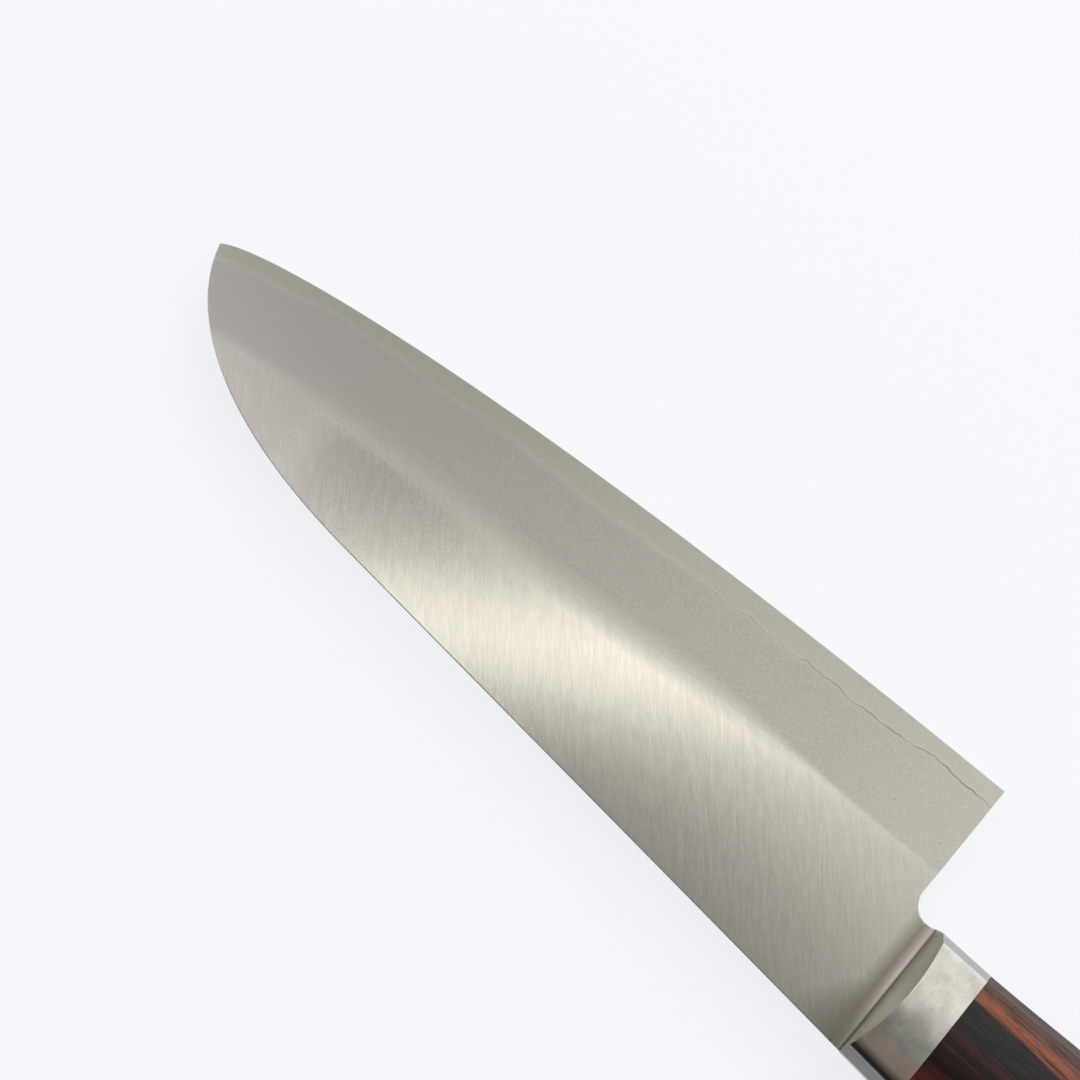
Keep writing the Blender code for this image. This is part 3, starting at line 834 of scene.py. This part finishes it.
def ringed_piece(name, rings, side, closing, glint_and_wear_ring, last_glint_and_wear_ring, front=(0, 0)):
    """Closed solid over rings of points, with what its finish needs stored on it.

    One ring and the rows at the broken corners up to the last given ring are marked for wear and a painted
    highlight. The front is the rings between which the sloped face lies. The face, the way down it and along
    the fillet, and the face's foot are marked.
    """
    bm = bmesh.new()
    wear_and_glint, down, dark, fillet = [
        bm.verts.layers.float.new(mark) for mark in ("crisp_line", "down_front", "foot_line", "toward_toe")]
    sloped, broken = [bm.faces.layers.float.new(mark) for mark in ("front_face", "broken_corner")]
    grid = [[bm.verts.new(p) for p in placed(ring * (1, 1, side))] for ring in rings]
    count = len(rings[0])
    rim, foot = front
    for number, (first, second) in enumerate(zip(grid, grid[1:])):
        for k in range(count - 1):
            face = bm.faces.new((first[k], first[k + 1], second[k + 1], second[k]))
            face[sloped] = float(rim <= number < foot)
            face[broken] = float(CRISP[0] <= min(k, count - 2 - k) < CRISP[1] and (number < rim or not foot))
    closing(bm, grid)
    # Wear and a painted highlight along one ring and along the broken corners' rows.
    for corner in grid[glint_and_wear_ring]:
        corner[wear_and_glint] = 1.0
    for ring in grid[:last_glint_and_wear_ring + 1]:
        for row in (*CRISP, count - 1 - CRISP[1], count - 1 - CRISP[0]):
            ring[row][wear_and_glint] = 1.0
    if foot:
        for number, ring in enumerate(grid):
            for corner in ring:
                corner[down] = np.interp(number, range(rim, foot + 1), FRONT_SHARES)
                # Painted shade: the face's foot is marked for a dark crease line.
                corner[dark] = float(number == foot)
                corner[fillet] = np.clip((number - foot) / (len(grid) - foot - 2), 0, 1)
    bmesh.ops.remove_doubles(bm, verts=bm.verts, dist=1e-7)
    bmesh.ops.recalc_face_normals(bm, faces=bm.faces)
    item = finished(bm, name)
    shade_ground(item.data)
    return item


def shade_ground(mesh):
    """Smooth shading over the crowned faces, crisp where two ground faces meet."""
    mesh.shade_smooth()
    mesh.set_sharp_from_angle(angle=radians(18))


def close_bolster(bm, grid):
    bm.faces.new(grid[0])
    toe = grid[-1]
    bm.faces.new([ring[0] for ring in grid[:-1]] + toe + [ring[-1] for ring in reversed(grid[:-1])])


BOLSTER_HAIRLINES = hairline_group("bolster_hairlines", radians(84), 0.00010, 0.00045)


def polished_steel(name, dark, light, hairlines, shine):
    """Finely ground steel: faint hairlines, cloudy patches from the polishing wheel and brighter rims.

    The rims are brighter from rubbing and from a painted highlight. The marks stored on the bolster give its
    broken corners, front face and fillet tones of their own, and these hold painted light and shade: corners
    darker towards the spine, a front face lighter towards the spine and its foot, a painted highlight on the
    fillet, painted shade at its toe and a painted dark crease at the face's foot. A warm streak and a dark
    one along the spine's corner are painted reflections.
    """
    material, tree, shader = new_material(name)
    lines = shade_from(tree, hairlines)
    patches = shade_from(tree, POLISH_PATCHES, {"Patch Size": 0.0038})
    up = object_axes(tree)["Y"]
    tone = math_node(tree, "MULTIPLY_ADD", math_node(tree, "SUBTRACT", lines, 0.5), 0.8, patches)
    to_spine = ramp(tree, up, 0.008, 0.022)
    # Painted shade: the broken corners are painted darker towards the spine.
    corner_colour = mix_colours(tree, to_spine, (0.49, 0.47, 0.47, 1), (0.31, 0.30, 0.30, 1))
    # Painted light: the front face is painted lighter towards the spine and down towards its foot.
    front_colour = layered(tree, (0.38, 0.40, 0.36, 1), (
        (to_spine, (0.60, 0.60, 0.54, 1)),
        (ramp(tree, stored_value(tree, "down_front"), 0.1, 1.0, 0.0, 0.85), (0.78, 0.79, 0.72, 1))))
    # Painted highlight on the fillet, a pinkish cream, turning to painted shade towards the spine.
    fillet_colour = mix_colours(tree, to_spine, (0.64, 0.58, 0.515, 1), (0.25, 0.235, 0.19, 1))
    front = stored_value(tree, "front_face")
    fillet = stored_value(tree, "toward_toe")
    # Painted shade: a dark line in the crease at the front face's foot, fainter towards the spine.
    foot = ramp(tree, stored_value(tree, "foot_line"), 0.3, 1.0, 0.0, 0.8)
    colour = layered(tree, dark, (
        (ramp(tree, tone, 0.3, 0.7), light),
        # Painted reflection: a warm streak below the spine's corner.
        (ramp(tree, up, 0.0162, 0.0182, 0.0, 0.75), (0.95, 0.68, 0.54, 1)),
        # Rubbed rims, lightened by wear and by a painted highlight.
        (product(tree, stored_value(tree, "crisp_line"), 0.35), (0.82, 0.81, 0.77, 1)),
        # Painted reflection: a near-black band just inside the spine's corner.
        (ramp(tree, up, 0.0195, 0.0210, 0.0, 0.95), (0.03, 0.04, 0.04, 1)),
        (product(tree, stored_value(tree, "broken_corner"), 0.85), corner_colour),
        (front, front_colour),
        (ramp(tree, fillet, 0.0, 0.15), fillet_colour),
        # Painted shade at the fillet's toe.
        (ramp(tree, fillet, 0.55, 1.0, 0.0, 0.85), PAINTED_TOE_SHADE),
        (product(tree, foot, ramp(tree, to_spine, 0.2, 1.0, 1.0, 0.3)), (0.09, 0.08, 0.07, 1))))
    rough = ramp(tree, patches, 0.3, 0.7, *shine)
    matte = math_node(tree, "MAXIMUM", front, ramp(tree, fillet, 0.0, 0.1))
    bump = add_node(tree, "ShaderNodeBump", {"Height": lines, "Strength": 0.4, "Distance": 0.000006})
    waviness = add_node(tree, "ShaderNodeBump", {
        "Height": patches, "Strength": 0.4, "Distance": 0.0001, "Normal": bump.outputs[0]})
    feed(tree, shader, {
        "Base Color": colour, "Roughness": math_node(tree, "MULTIPLY_ADD", matte, 0.14, rough),
        "Metallic": 1.0, "Normal": waviness.outputs[0]})
    return material


bolster_material = polished_steel("ground_bolster_steel", (0.52, 0.506, 0.447, 1), (0.74, 0.72, 0.625, 1),
                                  BOLSTER_HAIRLINES, (0.285, 0.345))
for side, word in ((1, "right"), (-1, "left")):
    rings, (rim, foot) = bolster_rings()
    piece = ringed_piece("bolster_" + word + "_fine", rings, side, close_bolster, rim, rim, (rim, foot))
    piece.data.materials.append(bolster_material)
    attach(piece, "root")
    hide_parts("bolster_" + word)


# Scales
# Two slabs of dyed veneers, stacked and pressed with resin, glued and riveted to the tang. They are ground
# flush with the bolster, their corners are broken like its corners, and the finish is a soft semi-gloss.
GRIP_STEPS = 64
BUTT_STEPS = 10
BUTT_EASE = 1.2
JOINT_GAP = 0.05
RIVET_NAMES = ("rivet_1", "rivet_2", "rivet_3")
HOLE_RADIUS = 3.29


def scale_rings():
    front = BOLSTER_REAR_X - JOINT_GAP
    round_start = BUTT_X + BUTT_RADIUS
    rings = []
    for share in np.linspace(0, 1, GRIP_STEPS)[:-1]:
        lean = BOLSTER_LEAN * float(1 - ease(2 * share))
        rings.append(half_section(front + (round_start - front) * share, lean))
    for angle in np.linspace(0, pi / 2, BUTT_STEPS):
        share = 1 - cos(angle)
        x = BUTT_X + BUTT_RADIUS * (1 - sin(angle))
        rings.append(half_section(x, 0.0, BUTT_RADIUS * share, BUTT_EASE * share))
    return rings


def close_scale(bm, grid):
    for first, second in zip(grid, grid[1:]):
        bm.faces.new((first[-1], first[0], second[0], second[-1]))
    bm.faces.new(grid[0])
    bm.faces.new(grid[-1])


def rivet_hole_cutter():
    """Round holes for the rivet heads through both scales, to be cut from them."""
    bm = bmesh.new()
    radius = HOLE_RADIUS / 1000
    for name in RIVET_NAMES:
        low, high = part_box(name + "_shank")
        centre = Matrix.Translation(((low.x + high.x) / 2, (low.y + high.y) / 2, HEEL.z))
        bmesh.ops.create_cone(
            bm, cap_ends=True, segments=72, radius1=radius, radius2=radius, depth=0.03, matrix=centre)
    return finished(bm, "rivet_hole_cutter")


def laminated_wood():
    """Dyed veneers on edge: near-black, red-brown and orange-brown streaks with fine pores along them."""
    material, tree, shader = new_material("laminated_wood")
    drift = stretched_noise(tree, 0.0, 0.006, 0.07, 2.0)
    streaks = stretched_noise(tree, radians(2.0), 0.00070, 0.018, 4.0)
    fibres = stretched_noise(tree, radians(1.0), 0.00017, 0.0040, 3.0, 0.7)
    place = object_axes(tree)
    lean = math_node(tree, "MULTIPLY_ADD", place["X"], -0.07, place["Y"])
    shifted = math_node(tree, "MULTIPLY_ADD", math_node(tree, "SUBTRACT", drift, 0.5), 0.0045, lean)
    blurred = math_node(tree, "MULTIPLY_ADD", math_node(tree, "SUBTRACT", streaks, 0.5), 0.0036, shifted)
    stack = add_node(tree, "ShaderNodeValToRGB", {0: ramp(tree, blurred, 0.0005, 0.0255)})
    veneers = (
        (0.00, 0.140, 0.090, 0.080), (0.13, 0.125, 0.078, 0.066), (0.17, 0.410, 0.137, 0.078),
        (0.22, 0.380, 0.118, 0.066), (0.26, 0.026, 0.027, 0.029), (0.42, 0.022, 0.020, 0.020),
        (0.48, 0.070, 0.020, 0.016), (0.53, 0.014, 0.010, 0.009), (0.60, 0.024, 0.009, 0.007),
        (0.66, 0.004, 0.004, 0.003), (0.73, 0.055, 0.013, 0.010), (1.00, 0.200, 0.040, 0.024))
    elements = stack.color_ramp.elements
    for veneer in veneers[1:-1]:
        elements.new(veneer[0])
    for element, veneer in zip(elements, veneers):
        element.color = (*veneer[1:], 1)
    colour = layered(tree, stack.outputs[0], (
        (ramp(tree, streaks, 0.56, 0.70, 0.0, 0.4), (0.18, 0.036, 0.024, 1)),
        (ramp(tree, streaks, 0.30, 0.44, 0.75, 0.0), (0.006, 0.005, 0.005, 1)),
        (ramp(tree, fibres, 0.34, 0.48, 0.75, 0.0), (0.006, 0.004, 0.004, 1)),
        (ramp(tree, fibres, 0.52, 0.75, 0.0, 0.07), (0.30, 0.15, 0.11, 1)),
        # Lighter broken corners: wear, and a painted highlight along the edges.
        (product(tree, stored_value(tree, "crisp_line"), 0.25), (0.30, 0.17, 0.14, 1))))
    bump = add_node(tree, "ShaderNodeBump", {"Height": fibres, "Strength": 0.5, "Distance": 0.00002})
    feed(tree, shader, {
        "Base Color": colour, "Roughness": ramp(tree, fibres, 0.3, 0.7, 0.38, 0.27),
        "Specular IOR Level": 0.2, "Coat Weight": 0.1, "Coat Roughness": 0.22, "Normal": bump.outputs[0]})
    return material


wood_material = laminated_wood()
hole_cutter = rivet_hole_cutter()
for side, word in ((1, "right"), (-1, "left")):
    rings = scale_rings()
    piece = ringed_piece("scale_" + word + "_fine", rings, side, close_scale, -1, len(rings) - 1)
    holes = piece.modifiers.new("rivet holes", "BOOLEAN")
    holes.operation = "DIFFERENCE"
    holes.solver = "EXACT"
    holes.object = hole_cutter
    piece.data.materials.append(wood_material)
    keep_result(piece, holes)
    shade_ground(piece.data)
    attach(piece, "root")
    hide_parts("scale_" + word)
bpy.data.objects.remove(hole_cutter)


# Rivets
# Three two-part cutlery rivets: a headed tube from the left and a headed shank from the right, pressed
# together through the tang. Their heads lie in round recesses and are ground flush with the wood.
HEAD_RADIUS = 3.25
HEAD_THICKNESS = 1.6
HEAD_EASE = 0.12
SHANK_RADIUS = 1.6
TUBE_RADIUS = 2.5
HEAD_TOP = 7.70


def rivet_row():
    """Node tree that turns a rivet part up from a disc and sets one on each point: foot, body and head."""
    tree, given = geometry_tree("rivet_row", (
        "Body Radius", "Body Length", "Head Radius", "Head Thickness", "Head Ease"))

    def disc(radius):
        inputs = {"Vertices": 72, "Radius": radius}
        return add_node(tree, "GeometryNodeMeshCircle", inputs, fill_type="NGON").outputs[0]

    def drawn(mesh, top, length):
        """Draws the top face up by a length, and gives the new mesh and its top face."""
        up = add_node(tree, "ShaderNodeCombineXYZ", {"Z": 1.0}).outputs[0]
        inputs = {"Mesh": mesh, "Selection": top, "Offset": up, "Offset Scale": length, "Individual": False}
        pulled = add_node(tree, "GeometryNodeExtrudeMesh", inputs, mode="FACES")
        return pulled.outputs["Mesh"], pulled.outputs["Top"]

    def widened(mesh, top, ratio):
        inputs = {"Geometry": mesh, "Selection": top, "Scale": ratio}
        return add_node(tree, "GeometryNodeScaleElements", inputs).outputs[0]

    base = add_node(tree, "GeometryNodeFlipFaces", {"Mesh": disc(given["Body Radius"])}).outputs[0]
    mesh, top = drawn(disc(given["Body Radius"]), True, given["Body Length"])
    mesh, top = drawn(mesh, top, 0.0)
    mesh = widened(mesh, top, math_node(tree, "DIVIDE", given["Head Radius"], given["Body Radius"]))
    straight = math_node(tree, "SUBTRACT", given["Head Thickness"], given["Head Ease"])
    mesh, top = drawn(mesh, top, straight)
    mesh, top = drawn(mesh, top, given["Head Ease"])
    narrower = math_node(tree, "SUBTRACT", given["Head Radius"], given["Head Ease"])
    mesh = widened(mesh, top, math_node(tree, "DIVIDE", narrower, given["Head Radius"]))
    whole = tree.nodes.new("GeometryNodeJoinGeometry")
    tree.links.new(base, whole.inputs[0])
    tree.links.new(mesh, whole.inputs[0])
    merged = add_node(tree, "GeometryNodeMergeByDistance", {"Geometry": whole.outputs[0], "Distance": 1e-7})
    row = add_node(tree, "GeometryNodeInstanceOnPoints", {
        "Points": given["Geometry"], "Instance": merged.outputs[0]})
    give_result(tree, row.outputs[0], given["Material"])
    return tree


RIVET_ROW = rivet_row()
rivet_hairlines = hairline_group("rivet_hairlines", radians(3), 0.00009, 0.0004)
rivet_material = polished_steel("ground_rivet_steel", (0.56, 0.555, 0.53, 1), (0.66, 0.655, 0.63, 1),
                                rivet_hairlines, (0.20, 0.27))
for part, side, radius in (("shank", 1, SHANK_RADIUS), ("tube", -1, TUBE_RADIUS)):
    boxes = [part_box(name + "_" + part) for name in RIVET_NAMES]
    foot = max(low.z for low, _ in boxes) if side > 0 else 2 * HEEL.z - min(high.z for _, high in boxes)
    points = bpy.data.meshes.new("rivet_" + part + "s")
    points.from_pydata([((low.x + high.x) / 2, (low.y + high.y) / 2, foot) for low, high in boxes], [], [])
    piece = new_object("rivet_" + part + "s", points)
    shaped_by(piece, RIVET_ROW, {
        "Body Radius": radius / 1000, "Body Length": HEEL.z + (HEAD_TOP - HEAD_THICKNESS) / 1000 - foot,
        "Head Radius": HEAD_RADIUS / 1000, "Head Thickness": HEAD_THICKNESS / 1000,
        "Head Ease": HEAD_EASE / 1000, "Material": rivet_material})
    if side < 0:
        mirror_through_blade(piece.data)
    piece.data.shade_smooth()
    piece.data.set_sharp_from_angle(angle=radians(32))
    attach(piece, "root")
    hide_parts(*[name + "_" + part for name in RIVET_NAMES])


# Studio
# A plain pale floor under plain soft light, and the camera at the photograph's viewing angle.
floor_mesh = bpy.data.meshes.new("floor")
floor_mesh.from_pydata([(-3, -3, 0), (3, -3, 0), (3, 3, 0), (-3, 3, 0)], [], [(0, 1, 2, 3)])
floor = new_object("floor", floor_mesh)
floor_material, floor_tree, floor_shader = new_material("pale_floor")
ray = floor_tree.nodes.new("ShaderNodeLightPath").outputs
reflected = math_node(floor_tree, "MAXIMUM", ray["Is Glossy Ray"], ray["Is Transmission Ray"])
feed(floor_tree, floor_shader, {
    "Base Color": (0.234, 0.238, 0.241, 1), "Roughness": 0.9, "Specular IOR Level": 0.0,
    "Emission Color": (0.771, 0.781, 0.816, 1),
    "Emission Strength": math_node(floor_tree, "MAXIMUM", ray["Is Camera Ray"], reflected)})
floor_mesh.materials.append(floor_material)

world = bpy.data.worlds.new("studio")
bpy.context.scene.world = world
world.use_nodes = True
feed(world.node_tree, world.node_tree.nodes["Background"], {"Color": (0.97, 0.98, 1.0, 1), "Strength": 0.177})


def soft_lamp(name, place, size, brightness, turn=0.0, aim=None):
    """A rectangular lamp that faces a point, or straight down, as bright as its face shows in a mirror."""
    lamp = bpy.data.lights.new(name, "AREA")
    lamp.shape = "RECTANGLE"
    lamp.size, lamp.size_y = size
    lamp.energy = brightness * pi * size[0] * size[1]
    facing = (Vector(aim or (*place[:2], 0)) - Vector(place)).to_track_quat("-Z", "Y").to_matrix()
    turned = (facing @ Matrix.Rotation(radians(turn), 3, "Z")).to_4x4()
    new_object(name, lamp).matrix_world = Matrix.Translation(place) @ turned


soft_lamp("strip", (0.063, -0.213, 1.0), (1.446, 0.035), 3.14, 32.9)
soft_lamp("near_panel", (-0.238, -0.980, 1.0), (0.952, 1.9), 0.75, -10.7)
soft_lamp("far_strip", (1.15, 0.001, 1.0), (1.062, 0.160), 5.6, -17.9)
soft_lamp("edge_side", (0.2, -1.4, 0.9), (1.6, 1.0), 1.7, aim=(0, 0, 0))
soft_lamp("handle_side", (-1.5, -0.2, 0.9), (1.2, 1.0), 1.7, aim=(0, 0, 0))

CAMERA_DISTANCE = 0.320
CAMERA_LEAN_X = radians(17)
CAMERA_LEAN_Y = radians(6)
CAMERA_TURN = radians(223.9)
look_at = Vector((0.0643, -0.0009, 0.00775))
towards_camera = Vector((-tan(CAMERA_LEAN_X), tan(CAMERA_LEAN_Y), 1)).normalized()
right = Vector((cos(CAMERA_TURN), sin(CAMERA_TURN), 0))
right = (right - towards_camera * right.dot(towards_camera)).normalized()
upwards = towards_camera.cross(right)
lens = bpy.data.cameras.new("camera")
lens.sensor_width = 36
lens.lens = 63.85
lens.clip_start = 0.01
camera = new_object("camera", lens)
turn = Matrix((right, upwards, towards_camera)).transposed().to_4x4()
turn.translation = look_at + towards_camera * CAMERA_DISTANCE
camera.matrix_world = turn
bpy.context.scene.camera = camera
bpy.context.scene.view_settings.view_transform = "Standard"
